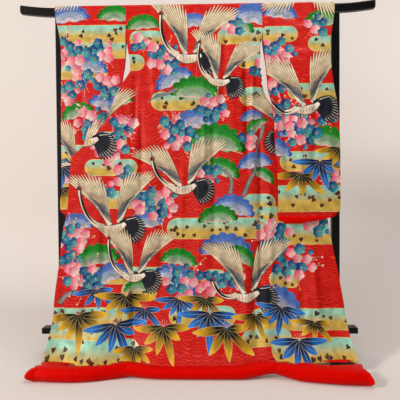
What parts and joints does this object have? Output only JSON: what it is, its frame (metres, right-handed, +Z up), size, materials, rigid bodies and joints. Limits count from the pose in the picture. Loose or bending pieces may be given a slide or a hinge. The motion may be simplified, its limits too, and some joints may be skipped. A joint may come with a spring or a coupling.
{
  "type": "uchikake wedding kimono on a kimono rack",
  "caption": "Long-sleeved padded-hem wedding robe hung open over a rail, its back and both spread fronts showing, on a lacquered rack.",
  "frame": {"origin": "middle of the footprint's bounding box, at floor level", "axes": "+Z up; +X along the rack's rails, to the right of a viewer who faces the garment's back; that viewer stands on the -Y side"},
  "size_m": [1.68, 0.5864, 1.6946],
  "materials": {
    "silk": "satin",
    "lining": "satin",
    "lacquer": "gloss"
  },
  "bodies": {
    "root": {"back_left": "silk", "back_right": "silk", "front_left": "silk", "front_right": "silk", "okumi_left": "silk", "okumi_right": "silk", "collar": "silk", "sleeve_left": "silk", "sleeve_right": "silk", "padded_hem": "lining", "sleeve_band_left": "lining", "sleeve_band_right": "lining", "top_rail": "lacquer", "post_left": "lacquer", "post_right": "lacquer", "lower_rail": "lacquer", "foot_left": "lacquer", "foot_right": "lacquer"}
  },
  "joints": []
}
